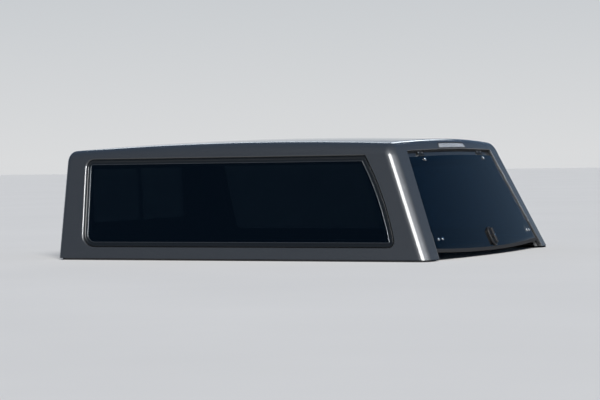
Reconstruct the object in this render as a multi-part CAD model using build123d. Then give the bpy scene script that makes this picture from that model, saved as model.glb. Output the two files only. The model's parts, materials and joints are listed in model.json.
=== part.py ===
from build123d import *
import math
import os

# A fibreglass truck cap for a pickup bed: a painted shell with side windows, a sliding front
# window and a frameless curved glass rear door on gas struts.
# Frame: +X to the vehicle's rear, +Y to its right, +Z up. The cap stands on z = 0, the
# underside of its foam rail seals. Millimetres and degrees.

# ---- driving dimensions ---------------------------------------------------------------
SHIFT_X = 14.8            # puts the middle of the cap's length on x = 0
BASE_HALF_WIDTH = 930.0   # outside of the side walls, taken at z = 0
SIDE_LEAN = 15.0          # each side wall leans inward by this angle
ROOF_HEIGHT = 655.0       # crown of the roof
CROWN_RADIUS = 12000.0    # roof, across the cap
ARCH_RADIUS = 20000.0     # roof, along the cap
ROOF_EDGE_RADIUS = 85.0   # side wall into roof
REAR_EDGE_RADIUS = 60.0   # side wall and roof into the rear face
FRONT_EDGE_RADIUS = 28.0
FRONT_X = -1130.0         # front wall at z = 0
FRONT_LEAN = 2.4          # the front wall leans forward
REAR_X = 1132.0           # outside of the rear glass on the centre line, carried down to z = 0
REAR_LEAN = 25.0
BOW_RADIUS = 10000.0      # the rear glass is bowed about an axis that lies in its own slope
PROUD = 6.0               # the shell's rear face stands this far outside the glass
WALL = 6.0
SHELL_BOTTOM = 10.0       # lower edge of the shell, and the height of the foam seals
FLANGE_WIDTH = 62.0       # inward flange along the bed rails
FLANGE_THICKNESS = 6.0

GLASS = 5.0               # every pane
DOOR_LOW = 75.0           # glass corners, measured up the rear slope
DOOR_HIGH = 605.0
DOOR_LOW_HALF = 772.0
DOOR_HIGH_HALF = 617.0
DOOR_DROOP = 33.0         # the lower edge of the glass hangs lower in the middle
DOOR_GAP = 6.0            # reveal around the glass
GUTTER_TOP = 640.0        # recess above the glass, under the roof lip
FLOOR_DEPTH = 14.0        # recess floor, measured in from the glass's outside
LEDGE_BACK = 28.0
LEDGE_WIDTH = 24.0
OPENING_TOP = 553.0
OPENING_RADIUS = 12.0

HINGE_Y = 433.0
PIVOT_V = 614.0           # door pivot, up the slope
PIVOT_N = -20.4           # door pivot, in from the glass's outside on the centre line
HINGE_BOLT_V = 587.0
DOOR_OPEN = 80.0

STRUT_Y = 590.0
STRUT_TOP = (-68.0, -55.0)      # shell ball, up the slope and outward from the pivot
STRUT_LOW = (-474.0, -28.0)     # door ball, the same way
HANDLE_V = 108.0

# Side window outline at the outer edge of its recess, in LEFT.
WINDOW_LOW = 72.0
WINDOW_HIGH = 576.0
WINDOW_FRONT_LOW = -984.0
WINDOW_FRONT_HIGH = -1025.0
WINDOW_REAR_LOW = 905.0
WINDOW_REAR_HIGH = 682.0
WINDOW_REAR_BULGE = 22.0
WINDOW_RADII = (85.0, 35.0, 14.0, 45.0)   # front low, rear low, rear high, front high
RECESS_DEPTH = 12.0
BEVEL = 7.0               # the recess's painted wall leans inward by this much
BAR_IN = 30.0             # inner edge of the black bar around the pane
BEAD_IN = 33.0            # inner edge of the bright glazing bead
LEDGE_SIDE = 34.0         # the bonding ledge reaches this far in past the recess's depth
LEDGE_FACE = -23.0        # inner face of the trim that closes the ledge
WINDOW_SCREWS = 14

FRONT_WINDOW_WIDTH = 1120.0
FRONT_WINDOW_HEIGHT = 330.0
FRONT_WINDOW_V = 345.0
FRONT_WINDOW_RADIUS = 24.0
FRONT_SCREWS = 12
TRACK_OUTER = (-9.6, -4.4)      # the fixed pane's groove in the front frame
TRACK_INNER = (-17.6, -12.4)    # the sliding pane's groove

LAMP_LOW = 648.0          # brake light, up the rear slope
LAMP_HIGH = 674.0
LAMP_LOW_HALF = 198.0
LAMP_HIGH_HALF = 176.0
LAMP_COUNT = 14
DOME_X = 430.0            # dome light, before the shift along x

SEAL_WIDTH = 40.0
RAIL_THICKNESS = 3.0
SIDE_RAIL_LENGTH = 1960.0
FRONT_RAIL_LENGTH = 1600.0
SIDE_RAIL_WIDTH = 42.0
FRONT_RAIL_WIDTH = 36.0
RAIL_HEIGHT = 26.0

SCREW_INSET = 20.0
SCREW_HOLE = 2.05
BOLT_HOLE = 5.2
CORNER_X = 667.0          # lower corner brackets of the door
CORNER_V = 132.0
CORNER_BOLTS = (-24.0, 24.0)
BARREL = 5.0              # hinge barrel, pin and bore radii
PIN = 2.5
PIN_BORE = 2.53
ROD_RADIUS = 4.0
LOCK_RADIUS = 6.5
SHAFT_RADIUS = 5.0

# ---- frames ---------------------------------------------------------------------------
lean = math.radians(REAR_LEAN)
side = math.radians(SIDE_LEAN)
fore = math.radians(FRONT_LEAN)
# In DOOR, x runs across the cap, y runs up the rear slope and z points outward.
DOOR = Plane(origin=(REAR_X, 0, 0), x_dir=(0, 1, 0), z_dir=(math.cos(lean), 0, math.sin(lean)))
# In LEFT, x runs to the rear, y runs up the side wall and z points outward.
LEFT = Plane(
    origin=(0, -BASE_HALF_WIDTH, 0), x_dir=(1, 0, 0), z_dir=(0, -math.cos(side), math.sin(side))
)
FRONT = Plane(
    origin=(FRONT_X, 0, 0), x_dir=(0, -1, 0), z_dir=(-math.cos(fore), 0, -math.sin(fore))
)
SHIFT = Location((SHIFT_X, 0, 0))

os.makedirs("parts", exist_ok=True)


def save(name, part):
    """Writes one node, with the whole cap moved so that its box is centred on x = 0."""
    solids = part.solids()
    shape = solids[0] if len(solids) == 1 else Compound(children=list(solids))
    export_step(SHIFT * shape, f"parts/{name}.step")


def mirrored(part):
    """The right-hand copy of a left-hand piece."""
    return mirror(part, about=Plane.XZ)


def pair(frame, pieces):
    """The pieces, placed in a frame, and their copies on the other side, in one node."""
    placed = [frame * piece for piece in pieces]
    return Part(children=placed + [mirrored(piece) for piece in placed])


def slab(x_range, y_range, z_range):
    """A block between the given limits."""
    size = [high - low for low, high in (x_range, y_range, z_range)]
    middle = [(high + low) / 2 for low, high in (x_range, y_range, z_range)]
    return Pos(*middle) * Box(*size)


def rounded(face, corners):
    """Rounds the face's corners nearest to each (x, y, radius)."""
    for x, y, radius in corners:
        corner = min(face.vertices(), key=lambda v: math.hypot(v.X - x, v.Y - y))
        face = fillet(corner, radius)
    return face


def prism(face, low, high):
    """The face, drawn on z = 0, carried from z = low to z = high."""
    return Pos(0, 0, low) * extrude(face, high - low)


def rod(start, end, radius):
    """A straight round bar between two points."""
    axis = Vector(*end) - Vector(*start)
    base = Plane(origin=start, z_dir=axis)
    return base * Pos(0, 0, axis.length / 2) * Cylinder(radius, axis.length)


# ---- the shell ------------------------------------------------------------------------
def bowed(outer, inner, low=-200.0, high=900.0):
    """In DOOR: everything between two offsets from the glass's outside, which is bowed."""
    height = high - low
    place = Pos(0, (low + high) / 2, -BOW_RADIUS) * Rot(90, 0, 0)
    band = place * Cylinder(BOW_RADIUS + outer, height)
    band -= place * Cylinder(BOW_RADIUS + inner, height + 2)
    return band & slab((-1200, 1200), (low, high), (-400, 100))


def closed_form(inset):
    """The cap's outside form, moved inward by inset and carried on below its base."""
    low = -100.0
    high = 900.0

    def half(z):
        return BASE_HALF_WIDTH - z * math.tan(side) - inset / math.cos(side)

    corners = [(-half(low), low), (half(low), low), (half(high), high), (-half(high), high)]
    walls = extrude(Plane.YZ * make_face(Polyline(*corners, close=True)), 1500, both=True)
    top = ROOF_HEIGHT - inset
    drop = CROWN_RADIUS - math.sqrt(CROWN_RADIUS**2 - 1000**2)
    crown = ThreePointArc((-1000, top - drop), (0, top), (1000, top - drop))
    foot = Polyline((1000, top - drop), (1000, low), (-1000, low), (-1000, top - drop))
    axis = Axis((0, 0, ROOF_HEIGHT - ARCH_RADIUS), (0, 1, 0))
    turn = math.degrees(1500 / ARCH_RADIUS)
    section = (Plane.YZ * make_face([crown, foot])).rotate(axis, -turn)
    form = walls & revolve(section, axis, 2 * turn)
    long_edges = [
        edge for edge in form.edges() if edge.length > 2000 and edge.center().Z > 300
    ]
    form = fillet(long_edges, ROOF_EDGE_RADIUS - inset)
    rear = Pos(0, 400, -BOW_RADIUS) * Rot(90, 0, 0) * Cylinder(BOW_RADIUS + PROUD - inset, 3000)
    form = form & (DOOR * rear)
    form = form & (FRONT * Pos(0, 0, -1500 - inset) * Box(4000, 4000, 3000))
    for pick, radius in ((max, REAR_EDGE_RADIUS), (min, FRONT_EDGE_RADIUS)):
        end = pick(form.faces(), key=lambda f: f.center().X)
        chain = [edge for edge in end.edges() if edge.center().Z > 0]
        form = fillet(chain, radius - inset)
    return form


def door_half(v, inset):
    """Half the width of the rear glass at v up the slope, less an inset."""
    slope = (DOOR_LOW_HALF - DOOR_HIGH_HALF) / (DOOR_HIGH - DOOR_LOW)
    return DOOR_LOW_HALF - (v - DOOR_LOW) * slope - inset * math.hypot(1, slope)


def door_face(inset, low, high, droop=0.0, low_radius=0.0, high_radius=0.0):
    """An outline that follows the rear glass, from low to high up the slope."""
    wide = door_half(low, inset)
    narrow = door_half(high, inset)
    if droop:
        bottom = ThreePointArc((-wide, low), (0, low - droop), (wide, low))
    else:
        bottom = Line((-wide, low), (wide, low))
    rest = Polyline((wide, low), (narrow, high), (-narrow, high), (-wide, low))
    face = make_face([bottom, rest])
    corners = []
    if low_radius:
        corners += [(-wide, low, low_radius), (wide, low, low_radius)]
    if high_radius:
        corners += [(-narrow, high, high_radius), (narrow, high, high_radius)]
    return rounded(face, corners)


def window_face(inset):
    """The side window's outline, moved inward by inset."""
    middle = ((WINDOW_REAR_LOW + WINDOW_REAR_HIGH) / 2, (WINDOW_LOW + WINDOW_HIGH) / 2)
    corners = [
        (WINDOW_FRONT_LOW, WINDOW_LOW),
        (WINDOW_REAR_LOW, WINDOW_LOW),
        (WINDOW_REAR_HIGH, WINDOW_HIGH),
        (WINDOW_FRONT_HIGH, WINDOW_HIGH),
    ]
    rear = ThreePointArc(corners[1], (middle[0] + WINDOW_REAR_BULGE, middle[1]), corners[2])
    face = make_face(
        [Line(corners[0], corners[1]), rear, Line(corners[2], corners[3]), Line(corners[3], corners[0])]
    )
    if inset:
        face = offset(face, -inset, kind=Kind.INTERSECTION)
    radii = [max(radius - inset, 6.0) if inset > 0 else radius - inset for radius in WINDOW_RADII]
    return rounded(face, [(x, y, radius) for (x, y), radius in zip(corners, radii)])


def ring(face_of, outer, inner, low, high):
    """A ring between two insets of one outline."""
    return prism(face_of(outer), low, high) - prism(face_of(inner), low - 1, high + 1)


def front_face(inset):
    """The front window's opening, moved inward by inset, in FRONT."""
    face = Rectangle(FRONT_WINDOW_WIDTH - 2 * inset, FRONT_WINDOW_HEIGHT - 2 * inset)
    return Pos(0, FRONT_WINDOW_V) * fillet(face.vertices(), max(FRONT_WINDOW_RADIUS - inset, 3.0))


def lamp_face(inset):
    """The brake light's outline in DOOR: wider along its lower edge."""
    low = LAMP_LOW + inset
    high = LAMP_HIGH - inset
    wide = LAMP_LOW_HALF - 1.5 * inset
    narrow = LAMP_HIGH_HALF - 1.2 * inset
    corners = [(-wide, low), (wide, low), (narrow, high), (-narrow, high)]
    face = make_face(Polyline(*corners, close=True))
    return fillet(face.vertices(), max(5.0 - inset, 1.5))


def sag(x):
    """How far the glass's outside falls behind its middle, x across the cap."""
    return BOW_RADIUS - math.sqrt(BOW_RADIUS**2 - x**2)


def on_glass(x, v):
    """A plane on the outside of the rear glass, in DOOR, with z outward."""
    turn = math.asin(x / BOW_RADIUS)
    flat = (math.cos(turn), 0, -math.sin(turn))
    return Plane(origin=(x, v, -sag(x)), x_dir=flat, z_dir=(math.sin(turn), 0, math.cos(turn)))


def post(radius, low, high):
    """An upright round bar between two heights."""
    return Pos(0, 0, (low + high) / 2) * Cylinder(radius, high - low)


def dome(radius, low, height):
    """A round head with a softened upper edge, standing on z = low."""
    head = post(radius, low, low + height)
    return fillet(head.edges().group_by(Axis.Z)[-1], height * 0.6)


def lying(radius, x_range, v, n):
    """A round bar along x."""
    return Pos((x_range[0] + x_range[1]) / 2, v, n) * Rot(0, 90, 0) * Cylinder(
        radius, x_range[1] - x_range[0]
    )


def window_screw_places():
    """Planes along the side window's ledge, on its inner face, z pointing into the cap."""
    edge = window_face(SCREW_INSET).faces()[0].outer_wire()
    places = []
    for step in range(WINDOW_SCREWS):
        spot = edge.position_at((step + 0.5) / WINDOW_SCREWS)
        origin = (spot.X, spot.Y, LEDGE_FACE)
        places.append(Plane(origin=origin, x_dir=(1, 0, 0), z_dir=(0, 0, -1)))
    return places


def front_screw_places():
    """Planes along the front window's inner trim, z pointing into the cap."""
    edge = front_face(-9).faces()[0].outer_wire()
    places = []
    for step in range(FRONT_SCREWS):
        spot = edge.position_at((step + 0.5) / FRONT_SCREWS)
        places.append(Plane(origin=(spot.X, spot.Y, -9.0), x_dir=(1, 0, 0), z_dir=(0, 0, -1)))
    return places


def screw(shank):
    """A pan-head screw: head above z = 0, shank below."""
    return dome(4.2, 0.0, 2.4) + post(2.0, -shank, 0.05)


def hinge_pocket():
    """Room in the rear ledge for the barrels and nuts of the right-hand hinge, in DOOR."""
    return slab((HINGE_Y - 44, HINGE_Y + 44), (574, 625), (-31, 0))


def make_shell():
    outer = closed_form(0.0)
    shell = outer - closed_form(WALL)
    flange = outer & slab((-1500, 1500), (-1000, 1000), (-90, SHELL_BOTTOM + FLANGE_THICKNESS))
    inner_edge = BASE_HALF_WIDTH - FLANGE_WIDTH
    shell += flange - slab((FRONT_X + FLANGE_WIDTH, 1500), (-inner_edge, inner_edge), (-95, 95))

    ledge = prism(door_face(-DOOR_GAP - 8, -140, GUTTER_TOP + 6), -300, 50)
    ledge -= prism(door_face(LEDGE_WIDTH, -150, OPENING_TOP, high_radius=OPENING_RADIUS), -310, 60)
    shell += (DOOR * (ledge & bowed(3.0, -LEDGE_BACK))) & outer
    window_ledge = LEFT * ring(window_face, -8, RECESS_DEPTH + LEDGE_SIDE, -20, -3)
    shell += [window_ledge, mirrored(window_ledge)]
    shell -= slab((-1500, 1500), (-1100, 1100), (-200, SHELL_BOTTOM))

    recess = prism(door_face(-DOOR_GAP, -150, GUTTER_TOP, high_radius=14), -310, 60)
    shell -= DOOR * (recess & bowed(50, -FLOOR_DEPTH))
    opening = door_face(LEDGE_WIDTH, -150, OPENING_TOP, high_radius=OPENING_RADIUS)
    shell -= DOOR * prism(opening, -310, 60)
    shell -= DOOR * prism(lamp_face(0), -60, 40)
    pocket = DOOR * hinge_pocket()
    shell -= [pocket, mirrored(pocket)]

    bevel = loft([window_face(0), Pos(0, 0, -RECESS_DEPTH) * window_face(BEVEL)], ruled=True)
    cuts = [bevel, prism(window_face(0), -0.01, 20)]
    cuts += [prism(window_face(RECESS_DEPTH + LEDGE_SIDE), -60, 5)]
    cuts += [place * post(SCREW_HOLE, -16, 1) for place in window_screw_places()]
    for cut in cuts:
        shell -= [LEFT * cut, mirrored(LEFT * cut)]
    shell -= FRONT * prism(front_face(0), -80, 20)
    for place in front_screw_places():
        shell -= FRONT * (place * post(SCREW_HOLE, -12, 1))
    return shell


cap_shell = make_shell()
save("cap_shell", cap_shell)


# ---- rail seals and stiffeners --------------------------------------------------------
seal_form = closed_form(4.0) & slab((-1500, 1500), (-1000, 1000), (0, SHELL_BOTTOM))
seal_inner = BASE_HALF_WIDTH - 4 - SEAL_WIDTH
seal_front = FRONT_X + 4 + SEAL_WIDTH
tail = slab((seal_front, 1500), (-1000, -seal_inner), (-1, 11))
left_seal = seal_form & tail
save("rail_seal_left", left_seal)
save("rail_seal_right", mirrored(left_seal))
save("rail_seal_front", seal_form & slab((-1500, seal_front), (-1000, 1000), (-1, 11)))

RAIL_FLOOR = SHELL_BOTTOM + FLANGE_THICKNESS


def angle_rail(length, width, height):
    """An aluminium angle along x, its upright leg along y = 0."""
    foot = slab((0, length), (-width, 0), (0, RAIL_THICKNESS))
    leg = slab((0, length), (-RAIL_THICKNESS, 0), (0, height))
    corner = foot + leg
    holes = [Pos(x, -width / 2 - 3, 0) * post(SCREW_HOLE, -1, 4) for x in rail_holes(length)]
    return corner - holes


def rail_holes(length):
    """Screw places along a rail."""
    count = max(3, round(length / 300))
    return [length * (step + 0.5) / count for step in range(count)]


def rail_screws(length, width):
    return [
        Pos(x, -width / 2 - 3, RAIL_THICKNESS) * screw(RAIL_THICKNESS)
        for x in rail_holes(length)
    ]


left_place = Pos(FRONT_X + 70, -BASE_HALF_WIDTH + 56, RAIL_FLOOR)
front_place = Pos(FRONT_X + 52, FRONT_RAIL_LENGTH / 2, RAIL_FLOOR) * Rot(0, 0, -90)
left_rail = left_place * angle_rail(SIDE_RAIL_LENGTH, SIDE_RAIL_WIDTH, RAIL_HEIGHT)
save("base_rail_left", left_rail)
save("base_rail_right", mirrored(left_rail))
front_rail = angle_rail(FRONT_RAIL_LENGTH, FRONT_RAIL_WIDTH, RAIL_HEIGHT)
save("base_rail_front", front_place * front_rail)
screws = rail_screws(SIDE_RAIL_LENGTH, SIDE_RAIL_WIDTH)
left_screws = [left_place * piece for piece in screws]
front_screws = [front_place * piece for piece in rail_screws(FRONT_RAIL_LENGTH, FRONT_RAIL_WIDTH)]
rail_group = left_screws + [mirrored(piece) for piece in left_screws] + front_screws
save("base_rail_screws", Part(children=rail_group))


# ---- side windows ---------------------------------------------------------------------
frame_bar = ring(window_face, BEVEL + 1.0, BAR_IN, -RECESS_DEPTH, -6.0)
frame_bar += ring(window_face, BEVEL + 1.0, 16.0, -6.01, -4.0)
side_screws = [place * screw(14.0) for place in window_screw_places()]
frame_bar -= [place * post(SCREW_HOLE, -14.2, 1) for place in window_screw_places()]
bead = ring(window_face, BAR_IN, BEAD_IN, -RECESS_DEPTH, -5.2)
pane = prism(window_face(BEAD_IN), -11.0, -11.0 + GLASS - 1.0)
bed = ring(window_face, BEAD_IN + 0.5, RECESS_DEPTH + LEDGE_SIDE - 2, -RECESS_DEPTH, -11.0)
trim = ring(window_face, 14.0, RECESS_DEPTH + LEDGE_SIDE - 2, LEDGE_FACE, -20.0)
trim -= [place * post(SCREW_HOLE, -4, 1) for place in window_screw_places()]
for name, piece in (("side_window_frame", frame_bar), ("side_window_glass", pane)):
    save(f"{name}_left", LEFT * piece)
    save(f"{name}_right", mirrored(LEFT * piece))
for name, pieces in (
    ("side_window_beads", [bead]),
    ("side_window_bedding", [bed]),
    ("side_window_trims", [trim]),
    ("side_window_screws", side_screws),
):
    save(name, pair(LEFT, pieces))

# ---- front window ---------------------------------------------------------------------
half_window = FRONT_WINDOW_WIDTH / 2
low_window = FRONT_WINDOW_V - FRONT_WINDOW_HEIGHT / 2
high_window = FRONT_WINDOW_V + FRONT_WINDOW_HEIGHT / 2
front_frame = ring(front_face, 0.5, 14.0, -22.0, 0.5) + ring(front_face, -12.0, 14.0, 0.0, 3.0)
for low, high in (TRACK_OUTER, TRACK_INNER):
    front_frame -= prism(front_face(6.0), low, high)
save("front_window_frame", FRONT * front_frame)


def front_pane(x_range, track):
    """A pane that reaches into the frame's track."""
    low, high = track
    face = front_face(6.4) & (
        Pos((x_range[0] + x_range[1]) / 2, FRONT_WINDOW_V) * Rectangle(x_range[1] - x_range[0], 900)
    )
    return prism(face, low + 0.6, high - 0.6)


fixed_pane = front_pane((-half_window, 14), TRACK_OUTER)
sliding_pane = front_pane((-14, half_window), TRACK_INNER)
save("front_window_glass_fixed", FRONT * fixed_pane)
meeting_rail = slab((-16, -2), (low_window + 16, high_window - 16), (-20.5, -17.05))
save("front_window_glass_sliding", FRONT * sliding_pane)
latch = slab((-15, 3), (FRONT_WINDOW_V - 30, FRONT_WINDOW_V + 30), (-24.5, -20.5))
latch += slab((-13, -7), (FRONT_WINDOW_V - 24, FRONT_WINDOW_V + 24), (-34, -24.4))
latch = fillet(latch.edges().group_by(Axis.Z)[0], 2.0)
save("front_window_slider_rail", FRONT * meeting_rail)
save("front_window_slider_pull", FRONT * latch)
front_trim = ring(front_face, -18.0, 0.4, -9.0, -WALL)
front_trim -= [place * post(SCREW_HOLE, -4, 1) for place in front_screw_places()]
save("front_window_trim", FRONT * front_trim)
front_group = [FRONT * (place * screw(8.8)) for place in front_screw_places()]
save("front_window_screws", Part(children=front_group))


# ---- roof lining and dome light -------------------------------------------------------
lining = closed_form(WALL + 0.5) - closed_form(WALL + 4.0)
lining &= slab((FRONT_X + 50, 770), (-1000, 1000), (590, 700))
save("headliner", lining)

lining_under = ROOF_HEIGHT - WALL - 4.0 - DOME_X**2 / (2 * ARCH_RADIUS)
dome_place = Pos(DOME_X, 0, lining_under - 2.4)


def soft_plate(length, width, low, high, corner):
    """A plate with rounded corners between two heights."""
    plate = slab((-length / 2, length / 2), (-width / 2, width / 2), (low, high))
    return fillet(plate.edges().filter_by(Axis.Z), corner)


light_base = soft_plate(150, 78, -14, 4, 18)
light_base -= soft_plate(96, 56, -15, -4, 10).moved(Location((-18, 0, 0)))
light_base -= slab((41, 61), (-9, 9), (-15, -4))
lens = soft_plate(95, 55, -17, -9, 10).moved(Location((-18, 0, 0)))
lens = fillet(lens.edges().group_by(Axis.Z)[0], 3.0)
lens -= soft_plate(90, 50, -15, -8, 8).moved(Location((-18, 0, 0)))
rocker = slab((42.5, 59.5), (-8, 8), (-17, -10))
rocker = fillet(rocker.edges().filter_by(Axis.Y), 2.0)
axle_place = Pos(51, 0, -12) * Rot(90, 0, 0)
rocker += axle_place * Cylinder(1.5, 20.6)
light_base -= axle_place * Cylinder(1.54, 21.4)
save("dome_light_base", (dome_place * light_base) & closed_form(WALL + 4.1))
save("dome_light_lens", dome_place * lens)
save("dome_light_switch", dome_place * rocker)


# ---- brake light in the roof's rear lip -----------------------------------------------
tray = bowed(4.0, -26.0) & prism(lamp_face(0.5), -60, 20)
tray -= bowed(5.0, -22.0) & prism(lamp_face(4.0), -60, 20)
lamp_lens = bowed(8.0, 4.05) & prism(lamp_face(0.5), -60, 20)
lamp_lens -= bowed(6.0, 3.0) & prism(lamp_face(3.0), -60, 20)
board = bowed(-15.0, -18.0) & prism(lamp_face(4.5), -60, 20)
lamp_middle = (LAMP_LOW + LAMP_HIGH) / 2
for step in range(LAMP_COUNT):
    spot = on_glass(340.0 * ((step + 0.5) / LAMP_COUNT - 0.5), lamp_middle)
    board += spot * dome(4.0, -15.5, 3.5)
gasket = bowed(7.4, 6.05) & (prism(lamp_face(-4), -60, 20) - prism(lamp_face(0.3), -61, 21))
save("brake_light_housing", DOOR * tray)
save("brake_light_lens", DOOR * lamp_lens)
save("brake_light_board", DOOR * board)
save("brake_light_gasket", DOOR * gasket)


# ---- rear opening seals ---------------------------------------------------------------
bulb = door_face(8.0, 34, OPENING_TOP + 17, high_radius=20)
bulb = prism(bulb, -300, 50) - prism(door_face(19.0, -150, OPENING_TOP + 5, high_radius=14), -310, 60)
save("door_opening_seal", DOOR * (bulb & bowed(-GLASS - 0.5, -FLOOR_DEPTH)))
strip = prism(door_face(-DOOR_GAP + 0.5, 500, GUTTER_TOP - 0.5, high_radius=13), -300, 50)
strip &= bowed(-6.0, -FLOOR_DEPTH)
strip &= slab((-1000, 1000), (634, 660), (-300, 50))
for sign in (1, -1):
    strip -= slab((sign * HINGE_Y - 46, sign * HINGE_Y + 46), (600, 660), (-60, 20))
save("door_header_strip", DOOR * strip)


# ---- rear door glass ------------------------------------------------------------------
def both_sides(spots):
    """The same places on both halves of the door, in DOOR."""
    return spots + [(-x, v) for x, v in spots]


bolt_spots = both_sides([(HINGE_Y, HINGE_BOLT_V)])
corner_spots = both_sides([(CORNER_X + shift, CORNER_V) for shift in CORNER_BOLTS])
door_outline = door_face(0.0, DOOR_LOW, DOOR_HIGH, DOOR_DROOP, 25, 20)
door_pane = bowed(0.0, -GLASS) & prism(door_outline, -200, 50)
for x, v in bolt_spots + corner_spots:
    door_pane -= on_glass(x, v) * post(BOLT_HOLE, -20, 20)
door_pane -= on_glass(0, HANDLE_V) * post(7.0, -20, 20)
save("rear_door_glass", DOOR * door_pane)

lip = prism(door_face(1.0, DOOR_LOW - 10, 300, DOOR_DROOP), -200, 50)
lip -= prism(door_face(-9.0, DOOR_LOW + 8, 320, DOOR_DROOP), -210, 60)
door_lip = (lip & bowed(1.6, -GLASS - 0.4)) - (
    bowed(0.0, -GLASS) & prism(door_face(-2.0, DOOR_LOW, 400, DOOR_DROOP), -200, 50)
)
save("door_bottom_seal", DOOR * door_lip)


# ---- hinges ---------------------------------------------------------------------------
floor_band = bowed(-FLOOR_DEPTH, -120.0)
pivot = (PIVOT_V, PIVOT_N)
fixed_leaf = slab((-40, 40), (620, 638), (-40, PIVOT_N + 2.4))
for low, high in ((-40, -16), (16, 40)):
    fixed_leaf += slab((low, high), (PIVOT_V, 621), (-40, PIVOT_N + 2.4))
fixed_leaf = (Pos(HINGE_Y, 0, 0) * fixed_leaf) - floor_band
for low, high in ((-40, -16), (16, 40)):
    fixed_leaf += lying(BARREL, (HINGE_Y + low, HINGE_Y + high), *pivot)
bore = lying(PIN_BORE, (HINGE_Y - 60, HINGE_Y + 60), *pivot)
fixed_leaf -= bore
hinge_screw_places = [Pos(HINGE_Y + x, 629.5, PIVOT_N + 2.4) for x in (-27, 27)]
fixed_leaf -= [place * post(SCREW_HOLE, -12, 1) for place in hinge_screw_places]
moving_leaf = slab((-40, 40), (575, 607.5), (PIVOT_N, PIVOT_N + 3.0))
moving_leaf += slab((-15.5, 15.5), (607, PIVOT_V), (PIVOT_N, PIVOT_N + 3.0))
moving_leaf = Pos(HINGE_Y, 0, 0) * moving_leaf
moving_leaf += lying(BARREL, (HINGE_Y - 15.5, HINGE_Y + 15.5), *pivot)
moving_leaf -= bore
bolt_place = on_glass(HINGE_Y, HINGE_BOLT_V)
moving_leaf -= bolt_place * post(4.1, -30, 0)
hinge_pin = lying(PIN, (HINGE_Y - 42, HINGE_Y + 42), *pivot)
hinge_pin += lying(3.6, (HINGE_Y + 40.3, HINGE_Y + 42.5), *pivot)
pad = slab((HINGE_Y - 40, HINGE_Y + 40), (575, 604), (PIVOT_N + 3.0, 0)) & bowed(-GLASS, -80)
pad -= bolt_place * post(4.1, -30, 0)
hinge_bolt = bolt_place * (
    dome(9.5, 1.6, 4.6) + post(4.0, -16.0, 1.7) + post(6.5, -15.6, -11.6)
)
hinge_washer = bolt_place * (post(11.0, 0.0, 1.6) - post(4.1, -1, 2))
bushing = bolt_place * (post(BOLT_HOLE - 0.1, -GLASS, 0.0) - post(4.1, -6, 1))
save("hinge_fixed_leaves", pair(DOOR, [fixed_leaf]))
save("hinge_door_leaves", pair(DOOR, [moving_leaf]))
save("hinge_pins", pair(DOOR, [hinge_pin]))
save("hinge_bolts", pair(DOOR, [hinge_bolt]))


# ---- corner brackets, strut and latch gear --------------------------------------------
corner = on_glass(CORNER_X, CORNER_V)
PAD_FACE = -7.5
PLATE_FACE = -10.5
WEB = (-45.0, -42.0)
rod_start = (-12.0, HANDLE_V + 14.0, -18.5)
rod_end = (722.0, HANDLE_V, -62.0)
rod_way = (Vector(*rod_end) - Vector(*rod_start)).normalized()


def along_rod(distance):
    """A point on the right-hand latch rod's line, beyond its start, in DOOR."""
    return Vector(*rod_start) + rod_way * distance


def turned(part):
    """The same piece turned half a turn about the handle's axis, for the other side."""
    return Pos(0, 2 * HANDLE_V, 0) * Rot(0, 0, 180) * part


rod_path = rod(along_rod(60), along_rod(800), ROD_RADIUS + 0.35)
bracket = slab((-45, 42), (-15, 15), (PLATE_FACE, PAD_FACE))
bracket += slab(WEB, (-34, 20), (-64, PAD_FACE))
bracket += slab((-45, -20), (-34, -15), (PLATE_FACE, PAD_FACE))
bracket -= [Pos(shift, 0, 0) * post(4.1, -20, 0) for shift in CORNER_BOLTS]
bracket = corner * bracket
strut_ball = (STRUT_Y, PIVOT_V + STRUT_LOW[0], PIVOT_N + STRUT_LOW[1])
web_x = CORNER_X + WEB[0] + 2
bracket += lying(3.0, (STRUT_Y + 14, web_x), strut_ball[1], strut_ball[2])
bracket += Pos(STRUT_Y + 14, strut_ball[1], strut_ball[2]) * Sphere(5.0)
corner_pad = slab((-44, 41), (-14, 14), (PAD_FACE, 0))
corner_pad -= [Pos(shift, 0, 0) * post(4.1, -20, 1) for shift in CORNER_BOLTS]
corner_pad = (corner * corner_pad) & bowed(-GLASS, -80)
corner_bolts = []
for shift in CORNER_BOLTS:
    bolt = dome(7.5, 1.2, 3.8) + post(4.0, -15.0, 1.3) + post(6.2, -14.6, PLATE_FACE - 0.05)
    bolt += post(9.0, 0.05, 1.2)
    corner_bolts.append(corner * Pos(shift, 0, 0) * bolt)
save("corner_bracket_right", DOOR * (bracket - rod_path))
save("corner_bracket_left", DOOR * (mirror(bracket, about=Plane.YZ) - turned(rod_path)))
save("door_glass_pads", pair(DOOR, [pad, corner_pad]))
save("corner_bolts", pair(DOOR, corner_bolts))
save("hinge_washers", pair(DOOR, [hinge_washer, bushing]))

# shell side of the strut
upper_ball = (STRUT_Y, PIVOT_V + STRUT_TOP[0], PIVOT_N + STRUT_TOP[1])
mount = on_glass(630.0, upper_ball[1])
arm = slab((-16, 14), (-20, 20), (-LEDGE_BACK - 3.0, -LEDGE_BACK - 0.1))
arm += slab((-16, -13), (-20, 20), (-LEDGE_BACK - 38, -LEDGE_BACK - 0.1))
arm = mount * arm
arm += lying(2.8, (STRUT_Y + 3, 615.5), upper_ball[1], upper_ball[2])
arm += Pos(*upper_ball) * Sphere(5.0)
mount_screw_places = [mount * Pos(2, v, -LEDGE_BACK - 3.0) * Rot(180, 0, 0) for v in (-12, 12)]
arm -= [place * post(SCREW_HOLE, -3.2, 1) for place in mount_screw_places]
save("strut_brackets", pair(DOOR, [arm]))

way = Vector(*strut_ball) - Vector(*upper_ball)
strut_length = way.length
strut_frame = Plane(origin=upper_ball, x_dir=(1, 0, 0), z_dir=way)
TUBE = (16.0, 272.0)


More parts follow.
